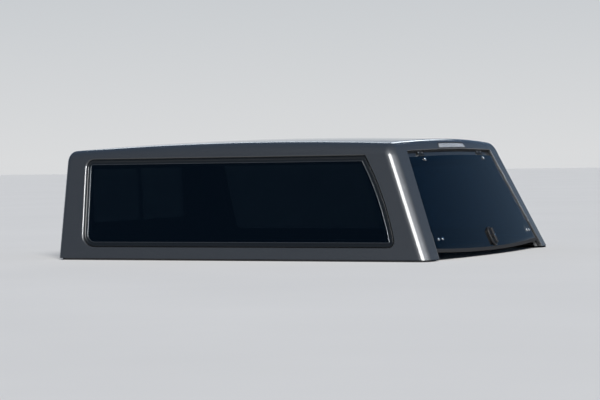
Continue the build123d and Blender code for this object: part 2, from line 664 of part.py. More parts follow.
def ball_socket(at):
    """The end fitting of a strut, open on the side that faces the cap's wall."""
    cup = Pos(0, 0, at) * Sphere(9.0)
    cup &= slab((-7.5, 3.5), (-20, 20), (at - 20, at + 20))
    cup -= Pos(0, 0, at) * Sphere(5.04)
    cup -= Pos(5, 0, at) * Rot(0, 90, 0) * Cylinder(4.7, 10)
    return cup


top_socket = ball_socket(0) + post(4.6, 8.0, TUBE[0])
tube = post(9.0, *TUBE) - post(7.6, TUBE[0] + 4, TUBE[1] - 8) - post(ROD_RADIUS + 0.04, 200, 300)
piston = 120.0
bar = post(ROD_RADIUS, piston, strut_length - 16) + post(7.5, piston, piston + 8)
low_socket = ball_socket(strut_length) + post(4.6, strut_length - 16, strut_length - 8)
for name, pieces in (("strut_tube", [tube, top_socket]), ("strut_rod", [bar, low_socket])):
    placed = [DOOR * strut_frame * piece for piece in pieces]
    save(f"{name}_right", Part(children=placed))
    save(f"{name}_left", Part(children=[mirrored(piece) for piece in placed]))

# latch rods and strikers
eye_place = Pos(*rod_start)
eye = eye_place * post(9.5, -1.5, 1.5)
rod_length = (Vector(*rod_end) - Vector(*rod_start)).length
latch_rod = rod(along_rod(7.5), along_rod(rod_length), ROD_RADIUS)
latch_rod += eye
latch_rod -= eye_place * post(5.6, -9, 9)
save("latch_rod_right", DOOR * latch_rod)
save("latch_rod_left", DOOR * turned(latch_rod))
striker_place = on_glass(751.0, HANDLE_V)
striker = slab((-10, 14), (-18, 18), (-LEDGE_BACK - 3.2, -LEDGE_BACK - 0.1))
striker += slab((-13, -10), (-18, 18), (-LEDGE_BACK - 22, -LEDGE_BACK - 0.1))
striker_screw_places = [
    striker_place * Pos(6, v, -LEDGE_BACK - 3.2) * Rot(180, 0, 0) for v in (-11, 11)
]
striker = striker_place * striker
striker -= [place * post(SCREW_HOLE, -3.4, 1) for place in striker_screw_places]
other_striker = mirror(striker, about=Plane.YZ) - turned(rod_path)
save("strikers", Part(children=[DOOR * (striker - rod_path), DOOR * other_striker]))
shell_screws = [place * screw(3.9) for place in hinge_screw_places]
shell_screws += [place * screw(2.9) for place in mount_screw_places + striker_screw_places]
save("door_gear_screws", pair(DOOR, shell_screws))


# ---- handle, cam and lock -------------------------------------------------------------
handle = on_glass(0, HANDLE_V)


def oval(width, height, low, high):
    """An upright oval plate."""
    return prism(SlotOverall(height, width, rotation=90).faces()[0], low, high)


base = oval(64, 112, 0.1, 9.0)
base = fillet(base.edges().group_by(Axis.Z)[-1], 3.5)
base -= oval(46, 94, 5.0, 12.0)
base -= post(12.04, -1, 12)
save("handle_base", DOOR * handle * base)
grip = post(12.0, 0.6, 13.0) + post(SHAFT_RADIUS, -16.2, 0.61)
bar_part = prism(SlotOverall(88, 20, rotation=90).faces()[0], 13.0, 24.0)
bar_part = fillet(bar_part.edges().group_by(Axis.Z)[-1], 4.0)
grip += bar_part
grip -= post(LOCK_RADIUS + 0.05, 12.0, 30.0)
save("handle_grip", DOOR * handle * grip)
plug = post(LOCK_RADIUS, 12.05, 24.6) - slab((-0.9, 0.9), (-4.5, 4.5), (20.5, 25))
save("lock_plug", DOOR * handle * plug)
backing = soft_plate(84, 66, -8.4, -5.8, 8)
backing -= post(5.04, -20, 0)
bosses = [Pos(x, y, 0) * post(5.0, -5.85, -5.1) for x in (-34, 34) for y in (-24, 24)]
save("handle_backing", DOOR * handle * (backing + bosses))
cam = post(23.0, -12.6, -9.6) - post(SHAFT_RADIUS + 0.04, -20, 0)
for sign in (1, -1):
    cam += Pos(-12 * sign, 14 * sign, 0) * post(2.5, -14.5, -12.5)
save("handle_cam", DOOR * handle * cam)
nut = post(8.0, -16.4, -12.7) - post(SHAFT_RADIUS + 0.04, -30, 0)
save("handle_nut", DOOR * handle * nut)
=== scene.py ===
import json
import math

import bmesh
import bpy
import numpy as np
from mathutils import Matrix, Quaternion, Vector
from mathutils.geometry import delaunay_2d_cdt

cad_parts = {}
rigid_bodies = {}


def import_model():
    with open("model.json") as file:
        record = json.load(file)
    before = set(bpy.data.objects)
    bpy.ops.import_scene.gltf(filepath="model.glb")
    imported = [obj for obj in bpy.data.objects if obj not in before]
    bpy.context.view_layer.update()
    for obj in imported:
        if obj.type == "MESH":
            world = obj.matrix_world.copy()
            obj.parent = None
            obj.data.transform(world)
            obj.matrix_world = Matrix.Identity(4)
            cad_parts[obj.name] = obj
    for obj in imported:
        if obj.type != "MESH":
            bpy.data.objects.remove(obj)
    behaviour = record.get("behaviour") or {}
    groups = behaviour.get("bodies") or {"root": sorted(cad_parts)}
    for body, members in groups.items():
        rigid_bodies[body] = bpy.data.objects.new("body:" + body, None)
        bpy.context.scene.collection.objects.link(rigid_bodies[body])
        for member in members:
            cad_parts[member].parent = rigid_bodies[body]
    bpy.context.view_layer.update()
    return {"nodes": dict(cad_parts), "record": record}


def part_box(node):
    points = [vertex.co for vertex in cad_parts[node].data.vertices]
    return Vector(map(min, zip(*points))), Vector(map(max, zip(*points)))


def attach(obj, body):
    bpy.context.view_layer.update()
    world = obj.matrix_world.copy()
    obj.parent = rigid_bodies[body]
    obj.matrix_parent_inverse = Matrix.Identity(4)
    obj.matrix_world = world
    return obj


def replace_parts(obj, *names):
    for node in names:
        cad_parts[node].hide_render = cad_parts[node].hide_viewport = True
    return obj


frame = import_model()
NODES = frame["nodes"]

# ---- the cap's form, in metres, as the CAD source has it --------------------------------
SHIFT = 0.0148             # centres the whole part, handle included
HALF_WIDTH = 0.930         # half the width at the floor, if the side walls ran down to it
REAR_FOOT = 1.132          # where the door glass's plane meets the floor, before the shift
FRONT_FOOT = -1.130
ROOF = 0.655               # highest point
CROWN = 12.0               # the roof's radius across
ARCH = 20.0                # the roof's radius along
BOW = 10.0                 # the door glass's radius
PROUD = 0.006              # how far the rear skin stands over the glass
ROOF_EDGE = 0.085          # rounding radii
REAR_EDGE = 0.060
FRONT_EDGE = 0.028
BASE = 0.010               # underside of the shell, on its foam seal
SIDE_LEAN = math.radians(15.0)
REAR_LEAN = math.radians(25.0)
FRONT_LEAN = math.radians(2.4)


class Place:
    """A flat working frame: x and y lie in its plane and n points out of the cap."""

    def __init__(self, origin, x_dir, out):
        self.origin = np.array(origin, float)
        self.x = np.array(x_dir, float)
        self.n = np.array(out, float)
        self.y = np.cross(self.n, self.x)

    def world(self, x, y, n):
        x, y, n = np.broadcast_arrays(*(np.asarray(a, float) for a in (x, y, n)))
        return self.origin + x[..., None] * self.x + y[..., None] * self.y + n[..., None] * self.n

    def local(self, p):
        q = p - self.origin
        return q @ self.x, q @ self.y, q @ self.n


DOOR = Place((REAR_FOOT + SHIFT, 0, 0), (0, 1, 0), (math.cos(REAR_LEAN), 0, math.sin(REAR_LEAN)))
LEFT = Place((SHIFT, -HALF_WIDTH, 0), (1, 0, 0), (0, -math.cos(SIDE_LEAN), math.sin(SIDE_LEAN)))
FRONT = Place((FRONT_FOOT + SHIFT, 0, 0), (0, -1, 0),
              (-math.cos(FRONT_LEAN), 0, -math.sin(FRONT_LEAN)))
TOP = Place((0, 0, 0), (1, 0, 0), (0, 0, 1))


def side_gap(p):
    """Distance outside the nearer side wall, and that wall's outward direction."""
    c, s = math.cos(SIDE_LEAN), math.sin(SIDE_LEAN)
    d = c * (np.abs(p[:, 1]) - HALF_WIDTH) + s * p[:, 2]
    n = np.stack([np.zeros(len(p)), np.where(p[:, 1] < 0, -c, c), np.full(len(p), s)], 1)
    return d, n


def roof_gap(p):
    x = p[:, 0] - SHIFT
    z = p[:, 2] - (ROOF - ARCH)
    rho = np.hypot(x, z)
    h = rho - ARCH + CROWN
    reach = np.hypot(p[:, 1], h)
    n = np.stack([x / rho * h / reach, p[:, 1] / reach, z / rho * h / reach], 1)
    return reach - CROWN, n


def rear_gap(p):
    x, _, n = DOOR.local(p)
    reach = np.hypot(x, n + BOW)
    out = (x / reach)[:, None] * DOOR.x + ((n + BOW) / reach)[:, None] * DOOR.n
    return reach - BOW - PROUD, out


def front_gap(p):
    return FRONT.local(p)[2], np.tile(FRONT.n, (len(p), 1))


MOST_ALIKE = 0.95          # two walls count as no nearer to parallel than this cosine


def meet(one, other, radius):
    """Two surfaces joined by a rolling-ball radius."""
    d1, n1 = one
    d2, n2 = other
    c = np.clip((n1 * n2).sum(1), -MOST_ALIKE, MOST_ALIKE)
    a, b = d1 + radius, d2 + radius
    alpha = (a - c * b) / (1 - c * c)
    beta = (b - c * a) / (1 - c * c)
    both = alpha[:, None] * n1 + beta[:, None] * n2
    reach = np.maximum(np.linalg.norm(both, axis=1), 1e-9)
    round_part = (alpha > 0) & (beta > 0)
    first = d1 >= d2
    d = np.where(round_part, reach - radius, np.where(first, d1, d2))
    flat = np.where(first[:, None], n1, n2)
    return d, np.where(round_part[:, None], both / reach[:, None], flat)


def skin_gap(p):
    body = meet(side_gap(p), roof_gap(p), ROOF_EDGE)
    body = meet(body, rear_gap(p), REAR_EDGE)
    return meet(body, front_gap(p), FRONT_EDGE)


CAST_STEPS = 40
SOLVE_STEPS = 30
LEAST_SLOPE = 0.12         # stops a grazing step from running away
AHEAD = 0.3                # how far a point is first moved out, to search from outside
AHEAD_OF_ROOF = 0.9


def cast(p, way, ahead=AHEAD):
    """The points moved along way until they lie on the cap's outer skin, and the skin's normals."""
    p = np.array(p, float).reshape(-1, 3)
    way = np.broadcast_to(np.asarray(way, float), p.shape)
    way = way / np.linalg.norm(way, axis=1)[:, None]
    p = p + way * ahead
    for _ in range(CAST_STEPS):
        d, n = skin_gap(p)
        p = p - way * (d / np.maximum((n * way).sum(1), LEAST_SLOPE))[:, None]
    return p, skin_gap(p)[1]


def solve(start, gaps, values, axis, at):
    """Points where every surface in gaps is the given distance away, with one coordinate fixed."""
    p = np.array(start, float)
    for _ in range(SOLVE_STEPS):
        rows, wrong = [], []
        for gap, value in zip(gaps, values):
            d, n = gap(p)
            rows.append(n)
            wrong.append(d - value)
        if axis is not None:
            unit = np.zeros((len(p), 3))
            unit[:, axis] = 1
            rows.append(unit)
            wrong.append(p[:, axis] - at)
        p = p - np.linalg.solve(np.stack(rows, 1), np.stack(wrong, 1)[..., None])[..., 0]
    return p


def ease(x):
    x = np.clip(x, 0, 1)
    return x * x * (3 - 2 * x)


INSIDE = -0.085            # depth of the lines that the rounded edges are cast from
BLEND = 0.13               # length at an edge's end over which its direction turns


def corner(gaps, guess):
    """The point INSIDE three surfaces, found from a rough guess."""
    return solve([guess], gaps, [INSIDE] * 3, None, None)[0]


def edge_line(gaps, thirds, ends, axis, count):
    """Skin points along the middle of a rounded edge; thirds are the surfaces met at its ends.

    An upright edge is cast level at its foot, so that the foot lies in the base.
    """
    t = np.linspace(0, 1, count)
    at = ends[0][axis] + (ends[1][axis] - ends[0][axis]) * t
    start = np.outer(1 - t, ends[0]) + np.outer(t, ends[1])
    p = solve(start, gaps, [INSIDE] * 2, axis, at)
    way = gaps[0](p)[1] + gaps[1](p)[1]
    for third, end in zip(thirds, ends):
        near = ease(1 - np.abs(at - end[axis]) / BLEND)
        if third is not None:
            way += near[:, None] * third(p)[1]
        elif axis == 2:
            way[:, 2] *= 1 - near
    return cast(p, way)[0]


SIDE_COUNT = 150           # points along a roof edge, and along each other edge
EDGE_COUNT = 70
rear_corner = corner([side_gap, roof_gap, rear_gap], (0.75, -0.66, 0.5))
front_corner = corner([side_gap, roof_gap, front_gap], (-1.0, -0.66, 0.5))
rear_foot = solve([(1.0, -0.8, BASE)], [side_gap, rear_gap], [INSIDE] * 2, 2, BASE)[0]
front_foot = solve([(-1.0, -0.8, BASE)], [side_gap, front_gap], [INSIDE] * 2, 2, BASE)[0]

side_roof = edge_line(
    [side_gap, roof_gap], [front_gap, rear_gap], [front_corner, rear_corner], 0, SIDE_COUNT
)
side_rear = edge_line(
    [side_gap, rear_gap], [None, roof_gap], [rear_foot, rear_corner], 2, EDGE_COUNT
)
side_front = edge_line(
    [side_gap, front_gap], [None, roof_gap], [front_foot, front_corner], 2, EDGE_COUNT
)
rear_mid = solve([(0.8, 0, 0.55)], [roof_gap, rear_gap], [INSIDE] * 2, 1, 0.0)[0]
front_mid = solve([(-1.0, 0, 0.55)], [roof_gap, front_gap], [INSIDE] * 2, 1, 0.0)[0]
roof_rear = edge_line(
    [roof_gap, rear_gap], [side_gap, None], [rear_corner, rear_mid], 1, EDGE_COUNT
)
roof_front = edge_line(
    [roof_gap, front_gap], [side_gap, None], [front_corner, front_mid], 1, EDGE_COUNT
)


# ---- making meshes ----------------------------------------------------------------------
FAR = 1e9
CLEAR = 0.45               # least gap between a filling point and a loop, in steps
SAME = 1e-7                # points closer than this are one point to the triangulation
WELD = 1e-6


def flip(points):
    """The same points on the other side of the cap."""
    return points * np.array([1.0, -1.0, 1.0])


def within(points, loop):
    """Which of the points lie inside a closed loop."""
    x, y = points[:, 0][:, None], points[:, 1][:, None]
    x1, y1 = loop[:, 0][None], loop[:, 1][None]
    x2, y2 = np.roll(x1, -1, 1), np.roll(y1, -1, 1)
    spans = (y1 > y) != (y2 > y)
    rise = np.where(y2 == y1, 1e-12, y2 - y1)
    return (spans & (x < (x2 - x1) * (y - y1) / rise + x1)).sum(1) % 2 == 1


def clearance(points, loop):
    """Distance from each point to a closed loop's nearest side."""
    best = np.full(len(points), FAR)
    nxt = np.roll(loop, -1, 0)
    for a, b in zip(loop, nxt):
        ab = b - a
        t = np.clip(((points - a) @ ab) / max(ab @ ab, 1e-15), 0, 1)
        best = np.minimum(best, np.hypot(*(points - a - t[:, None] * ab).T))
    return best


def fill(outer, holes, coarse, fine, reach):
    """Triangles between closed 2D loops. Points are fine within reach of the outer loop."""
    loops = [outer] + list(holes)
    low, high = outer.min(0), outer.max(0)
    found = []
    for step, near in ((fine, True), (coarse, False)):
        xs = np.arange(low[0] + step * 0.5, high[0], step)
        ys = np.arange(low[1] + step * 0.5, high[1], step)
        grid = np.stack(np.meshgrid(xs, ys), -1).reshape(-1, 2)
        if near:
            keep = np.zeros(len(grid), bool)
            for a in outer[::3]:
                keep |= np.abs(grid - a).max(1) < reach
            grid = grid[keep]
        elif reach > 0:
            keep = np.ones(len(grid), bool)
            for a in outer[::3]:
                keep &= np.abs(grid - a).max(1) > reach
            grid = grid[keep]
        if len(grid) == 0 or (near and reach <= 0):
            continue
        ok = within(grid, outer)
        for hole in holes:
            ok &= ~within(grid, hole)
        grid = grid[ok]
        gap = np.full(len(grid), FAR)
        for loop in loops:
            gap = np.minimum(gap, clearance(grid, loop))
        found.append(grid[gap > CLEAR * step])
    points, edges = [], []
    for loop in loops:
        first = len(points)
        points += list(loop)
        edges += [(first + i, first + (i + 1) % len(loop)) for i in range(len(loop))]
    for grid in found:
        points += list(grid)
    points = np.array(points)
    made = delaunay_2d_cdt([Vector(p) for p in points], edges, [], 0, SAME)
    came = [src[0] for src in made[3]]
    faces = np.array([[came[i] for i in f] for f in made[2]])
    middle = points[faces].mean(1)
    ok = within(middle, outer)
    for hole in holes:
        ok &= ~within(middle, hole)
    return points, faces[ok]


class Build:
    """Collects vertices, faces and known normals for one mesh."""

    def __init__(self):
        self.points, self.faces, self.known, self.slots, self.count = [], [], [], [], 0

    def add(self, points, faces, normals=None):
        points = np.asarray(points, float)
        self.points.append(points)
        self.faces += [tuple(int(i) + self.count for i in f) for f in faces]
        self.slots += [0] * len(faces)
        known = np.full((len(points), 3), np.nan) if normals is None else normals
        self.known.append(known)
        self.count += len(points)

    def strip(self, rows, closed=True, turn=False):
        """Quads between rows of points of the same length."""
        rows = np.asarray(rows, float)
        n = rows.shape[1]
        faces = []
        for r in range(len(rows) - 1):
            for i in range(n if closed else n - 1):
                j = (i + 1) % n
                quad = (r * n + i, r * n + j, (r + 1) * n + j, (r + 1) * n + i)
                faces.append(quad[::-1] if turn else quad)
        self.add(rows.reshape(-1, 3), faces)

    def fan(self, ring, turn=False):
        """A flat cap over a closed ring."""
        ring = np.asarray(ring, float)
        middle = ring.mean(0)[None]
        n = len(ring)
        faces = [((i + 1) % n, i, n) if turn else (i, (i + 1) % n, n) for i in range(n)]
        self.add(np.vstack([ring, middle]), faces)

    def both_sides(self):
        """Adds the mirror image of everything so far."""
        points, known = np.vstack(self.points), np.vstack(self.known)
        faces, slots, count = list(self.faces), list(self.slots), self.count
        self.points.append(flip(points))
        self.known.append(flip(known))
        self.faces += [tuple(i + count for i in reversed(f)) for f in faces]
        self.slots += slots
        self.count *= 2

    def object(self, name, materials, body="shell", sharp=40.0):
        """Makes the mesh an object that rides on a body; sharp is an angle in degrees."""
        mesh = bpy.data.meshes.new(name)
        points = np.vstack(self.points)
        mesh.from_pydata(points.tolist(), [], self.faces)
        mesh.update()
        for material in materials:
            mesh.materials.append(material)
        mesh.polygons.foreach_set("material_index", self.slots)
        o = bpy.data.objects.new(name, mesh)
        bpy.context.scene.collection.objects.link(o)
        known = np.vstack(self.known)
        mesh.polygons.foreach_set("use_smooth", [True] * len(mesh.polygons))
        if np.isfinite(known).any():
            plain = np.zeros(len(points) * 3)
            mesh.vertex_normals.foreach_get("vector", plain)
            plain = plain.reshape(-1, 3)
            final = np.where(np.isfinite(known), known, plain)
            mesh.normals_split_custom_set_from_vertices(final.tolist())
        else:
            bm = bmesh.new()
            bm.from_mesh(mesh)
            bmesh.ops.remove_doubles(bm, verts=bm.verts, dist=WELD)
            bm.to_mesh(mesh)
            bm.free()
            mesh.set_sharp_from_angle(angle=math.radians(sharp))
        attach(o, body)
        return o


# ---- outlines ---------------------------------------------------------------------------
class Outline:
    """A closed outline of straight and bowed sides with rounded corners, counter-clockwise."""

    def __init__(self, corners, bulges, radii, tight=0.006, arc=10, step=0.02):
        self.corners = [np.array(c, float) for c in corners]
        self.sides = []
        for i, a in enumerate(self.corners):
            b = self.corners[(i + 1) % len(self.corners)]
            along = (b - a) / np.linalg.norm(b - a)
            out = np.array([along[1], -along[0]])
            bulge = bulges[i]
            if bulge:
                half = np.linalg.norm(b - a) / 2
                radius = (half**2 + bulge**2) / (2 * bulge)
                self.sides.append(("arc", (a + b) / 2 + out * (bulge - radius), radius))
            else:
                self.sides.append(("line", a, out))
        self.radii = radii
        self.tight = tight
        self.arc = arc
        self.counts = [
            max(2, int(round(np.linalg.norm(self.corners[(i + 1) % len(corners)] - a) / step)))
            for i, a in enumerate(self.corners)
        ]

    def gap(self, side, p):
        kind, a, b = self.sides[side]
        if kind == "line":
            return (p - a) @ b, b
        q = p - a
        reach = np.hypot(*q)
        return reach - b, q / reach

    def loop(self, inset=0.0):
        count = len(self.corners)
        arcs = []
        for i in range(count):
            before = (i - 1) % count
            radius = self.radii[i] - inset
            if inset > 0:
                radius = max(radius, min(self.tight, self.radii[i]))
            p = self.corners[i].copy()
            for _ in range(SOLVE_STEPS):
                d1, n1 = self.gap(before, p)
                d2, n2 = self.gap(i, p)
                wrong = np.array([d1 + inset + radius, d2 + inset + radius])
                p = p - np.linalg.solve(np.array([n1, n2]), wrong)
            n1, n2 = self.gap(before, p)[1], self.gap(i, p)[1]
            start, end = math.atan2(n1[1], n1[0]), math.atan2(n2[1], n2[0])
            while end < start:
                end += 2 * math.pi
            angles = np.linspace(start, end, self.arc + 1)
            arcs.append(p + radius * np.stack([np.cos(angles), np.sin(angles)], 1))
        points = []
        for i in range(count):
            points.append(arcs[i])
            a, b = arcs[i][-1], arcs[(i + 1) % count][0]
            t = np.linspace(0, 1, self.counts[i] + 1)[1:-1]
            between = np.outer(1 - t, a) + np.outer(t, b)
            for k in range(len(between)):
                d, n = self.gap(i, between[k])
                between[k] -= (d + inset) * n
            points.append(between)
        return np.vstack(points)


WINDOW = Outline(
    [(-0.984, 0.072), (0.905, 0.072), (0.682, 0.576), (-1.025, 0.576)],
    [0, 0.022, 0, 0],
    [0.085, 0.035, 0.014, 0.045],
)
DOOR_WIDE = 0.772          # half widths of the door glass at its foot and at its top
DOOR_NARROW = 0.617
DOOR_LOW = 0.075
DOOR_HIGH = 0.605
SLOPE = (DOOR_WIDE - DOOR_NARROW) / (DOOR_HIGH - DOOR_LOW)


def door_half(v, inset=0.0):
    """Half the door's width at a height v up its plane."""
    return DOOR_WIDE - (v - DOOR_LOW) * SLOPE - inset * math.hypot(1, SLOPE)


PANE = Outline(
    [(-door_half(DOOR_LOW), DOOR_LOW), (door_half(DOOR_LOW), DOOR_LOW),
     (door_half(DOOR_HIGH), DOOR_HIGH), (-door_half(DOOR_HIGH), DOOR_HIGH)],
    [0.033, 0, 0, 0],
    [0.025, 0.025, 0.020, 0.020],
)


def disc(x, y, radius, count=24):
    turn = np.linspace(0, 2 * math.pi, count, endpoint=False)
    return np.stack([x + radius * np.cos(turn), y + radius * np.sin(turn)], 1)


def sag(x):
    """How far the bowed rear falls back at a distance x from its middle."""
    return BOW - np.sqrt(BOW**2 - x**2)


def swept(build, place, outline, profile):
    """A closed profile of (inset, n) carried round an outline."""
    rows = []
    for inset, n in list(profile) + [profile[0]]:
        loop = outline.loop(inset)
        rows.append(place.world(loop[:, 0], loop[:, 1], n))
    build.strip(rows)


ROUND_STEPS = 4
MOST_OF_SIDE = 0.45        # a rounding takes at most this share of either side


def rounded_profile(corners, radius):
    """The profile's corners rounded; corners run clockwise or anti-clockwise."""
    out = []
    count = len(corners)
    for i in range(count):
        a, b, c = (np.array(corners[(i + k) % count], float) for k in (-1, 0, 1))
        to_a, to_c = a - b, c - b
        la, lc = np.linalg.norm(to_a), np.linalg.norm(to_c)
        r = min(radius, la * MOST_OF_SIDE, lc * MOST_OF_SIDE)
        start, end = b + to_a / la * r, b + to_c / lc * r
        for t in np.linspace(0, 1, ROUND_STEPS + 1):
            out.append(tuple((1 - t) ** 2 * start + 2 * t * (1 - t) * b + t * t * end))
    return out


QUARTER = np.linspace(0, math.pi / 2, 5)


def plate(build, place, outline, holes, top, bottom, edge, coarse):
    """A pane: an outline with round holes between two surfaces, all its edges eased."""
    loops = [outline.loop] + [
        (lambda inset, h=hole: disc(h[0], h[1], h[2] + inset)[::-1]) for hole in holes
    ]
    for surface, sign in ((top, -1), (bottom, 1)):
        rims = [loop(edge) for loop in loops]
        points, faces = fill(rims[0], [rim[::-1] for rim in rims[1:]], coarse, coarse, 0)
        placed = place.world(points[:, 0], points[:, 1], surface(points[:, 0], points[:, 1]))
        build.add(placed, faces if sign < 0 else faces[:, ::-1])
    for loop in loops:
        rows = []
        for surface, sign, turns in ((top, -1, QUARTER), (bottom, 1, QUARTER[::-1])):
            for turn in turns:
                flat = loop(edge * (1 - math.sin(turn)))
                low = edge * (1 - math.cos(turn))
                level = surface(flat[:, 0], flat[:, 1]) + sign * low
                rows.append(place.world(flat[:, 0], flat[:, 1], level))
        build.strip(rows, turn=True)


# ---- materials --------------------------------------------------------------------------
BUMP_DEPTH = 0.0006
PEEL_DEPTH = 0.0004
PEEL_SIZE = 90.0
PEEL_STRENGTH = 0.05


def material(name, color, rough, metallic=0.0, vary=0.15, grain=60.0, bump=0.0,
             bump_grain=400.0, rough_vary=0.1, **sockets):
    """A procedural finish: mottled colour and roughness, and a fine grain in the surface."""
    m = bpy.data.materials.new(name)
    m.use_nodes = True
    tree = m.node_tree
    shader = tree.nodes["Principled BSDF"]
    place = tree.nodes.new("ShaderNodeTexCoord")
    noise = tree.nodes.new("ShaderNodeTexNoise")
    noise.inputs["Scale"].default_value = grain
    noise.inputs["Detail"].default_value = 6.0
    tree.links.new(place.outputs["Object"], noise.inputs["Vector"])
    ramp = tree.nodes.new("ShaderNodeValToRGB")
    ramp.color_ramp.elements[0].position = 0.3
    ramp.color_ramp.elements[1].position = 0.7
    ramp.color_ramp.elements[0].color = [c * (1 - vary) for c in color] + [1]
    ramp.color_ramp.elements[1].color = [min(1, c * (1 + vary)) for c in color] + [1]
    tree.links.new(noise.outputs["Fac"], ramp.inputs["Fac"])
    tree.links.new(ramp.outputs["Color"], shader.inputs["Base Color"])
    spread = tree.nodes.new("ShaderNodeMapRange")
    spread.inputs["To Min"].default_value = rough * (1 - rough_vary)
    spread.inputs["To Max"].default_value = min(1.0, rough * (1 + rough_vary))
    tree.links.new(noise.outputs["Fac"], spread.inputs["Value"])
    tree.links.new(spread.outputs["Result"], shader.inputs["Roughness"])
    shader.inputs["Metallic"].default_value = metallic
    if bump:
        fine = tree.nodes.new("ShaderNodeTexNoise")
        fine.inputs["Scale"].default_value = bump_grain
        fine.inputs["Detail"].default_value = 4.0
        tree.links.new(place.outputs["Object"], fine.inputs["Vector"])
        raised = tree.nodes.new("ShaderNodeBump")
        raised.inputs["Strength"].default_value = bump
        raised.inputs["Distance"].default_value = BUMP_DEPTH
        tree.links.new(fine.outputs["Fac"], raised.inputs["Height"])
        tree.links.new(raised.outputs["Normal"], shader.inputs["Normal"])
    for socket, value in sockets.items():
        shader.inputs[socket.replace("_", " ")].default_value = value
    return m


def flaked(m, size, tilt):
    """Adds metal flake: every tiny cell of the surface leans its own way under the clear coat."""
    tree = m.node_tree
    shader = tree.nodes["Principled BSDF"]
    place = tree.nodes.new("ShaderNodeTexCoord")
    cells = tree.nodes.new("ShaderNodeTexVoronoi")
    cells.inputs["Scale"].default_value = size
    tree.links.new(place.outputs["Object"], cells.inputs["Vector"])
    lean = tree.nodes.new("ShaderNodeVectorMath")
    lean.operation = "MULTIPLY_ADD"
    lean.inputs[1].default_value = (tilt,) * 3
    lean.inputs[2].default_value = (-tilt / 2,) * 3
    tree.links.new(cells.outputs["Color"], lean.inputs[0])
    here = tree.nodes.new("ShaderNodeNewGeometry")
    total = tree.nodes.new("ShaderNodeVectorMath")
    tree.links.new(here.outputs["Normal"], total.inputs[0])
    tree.links.new(lean.outputs["Vector"], total.inputs[1])
    unit = tree.nodes.new("ShaderNodeVectorMath")
    unit.operation = "NORMALIZE"
    tree.links.new(total.outputs["Vector"], unit.inputs[0])
    tree.links.new(unit.outputs["Vector"], shader.inputs["Normal"])
    peel = tree.nodes.new("ShaderNodeTexNoise")
    peel.inputs["Scale"].default_value = PEEL_SIZE
    peel.inputs["Detail"].default_value = 2.0
    tree.links.new(place.outputs["Object"], peel.inputs["Vector"])
    raised = tree.nodes.new("ShaderNodeBump")
    raised.inputs["Strength"].default_value = PEEL_STRENGTH
    raised.inputs["Distance"].default_value = PEEL_DEPTH
    tree.links.new(peel.outputs["Fac"], raised.inputs["Height"])
    tree.links.new(raised.outputs["Normal"], shader.inputs["Coat Normal"])
    return m


FLAKE_SIZE = 2600.0
FLAKE_TILT = 0.28
PAINT = flaked(
    material("paint", (0.040, 0.043, 0.047), 0.42, 0.5, vary=0.10, grain=300.0,
             Coat_Weight=1.0, Coat_Roughness=0.035, Coat_IOR=1.5),
    FLAKE_SIZE, FLAKE_TILT,
)
LINER = material("gelcoat", (0.16, 0.165, 0.17), 0.6, vary=0.35, grain=700.0,
                 bump=0.5, bump_grain=500.0)
FOAM = material("foam", (0.018, 0.018, 0.019), 0.95, vary=0.3, grain=900.0,
                bump=1.0, bump_grain=1200.0)
BLACK_BAR = material("black_aluminium", (0.005, 0.006, 0.007), 0.30, vary=0.12, grain=500.0,
                     bump=0.15, bump_grain=1800.0)
BEAD = material("bead", (0.13, 0.14, 0.15), 0.33, 1.0, vary=0.08, grain=200.0)
SIDE_GLASS = material("side_glass", (0.045, 0.058, 0.068), 0.02, vary=0.03, grain=4.0,
                      Transmission_Weight=1.0, IOR=1.5)
REAR_GLASS = material("rear_glass", (0.008, 0.030, 0.062), 0.015, vary=0.03, grain=4.0,
                      Transmission_Weight=1.0, IOR=1.5)
RUBBER = material("rubber", (0.012, 0.012, 0.013), 0.72, vary=0.2, grain=120.0,
                  bump=0.3, bump_grain=900.0)
BLACK_STEEL = material("black_steel", (0.016, 0.017, 0.018), 0.4, 0.4, vary=0.15, grain=150.0,
                       bump=0.2, bump_grain=1500.0)
ZINC = material("zinc_steel", (0.50, 0.51, 0.52), 0.33, 1.0, vary=0.12, grain=180.0,
                bump=0.1, bump_grain=800.0)
CHROME = material("chrome", (0.80, 0.81, 0.82), 0.08, 1.0, vary=0.04, grain=90.0, rough_vary=0.4)
ALUMINIUM = material("rail_aluminium", (0.60, 0.61, 0.63), 0.38, 1.0, vary=0.08, grain=240.0,
                     bump=0.12, bump_grain=1000.0)
NYLON = material("nylon", (0.02, 0.02, 0.02), 0.5, vary=0.15, grain=300.0,
                 bump=0.15, bump_grain=1200.0)
PLASTIC = material("black_plastic", (0.014, 0.014, 0.015), 0.42, vary=0.15, grain=300.0,
                   bump=0.35, bump_grain=1600.0)
REFLECTOR = material("reflector", (0.82, 0.84, 0.87), 0.18, 1.0, vary=0.05, grain=200.0)
BOARD = material("lamp_board", (0.62, 0.64, 0.66), 0.5, vary=0.1, grain=300.0, bump=0.1)
LENS = material("lamp_lens", (0.90, 0.92, 0.95), 0.12, vary=0.03, grain=60.0,
                Transmission_Weight=0.75, IOR=1.46)
PALE = material("pale_plastic", (0.52, 0.52, 0.50), 0.45, vary=0.06, grain=200.0, bump=0.15)
FELT = material("lining", (0.085, 0.09, 0.095), 0.97, vary=0.4, grain=1400.0,
                bump=1.0, bump_grain=1800.0, Sheen_Weight=0.4)

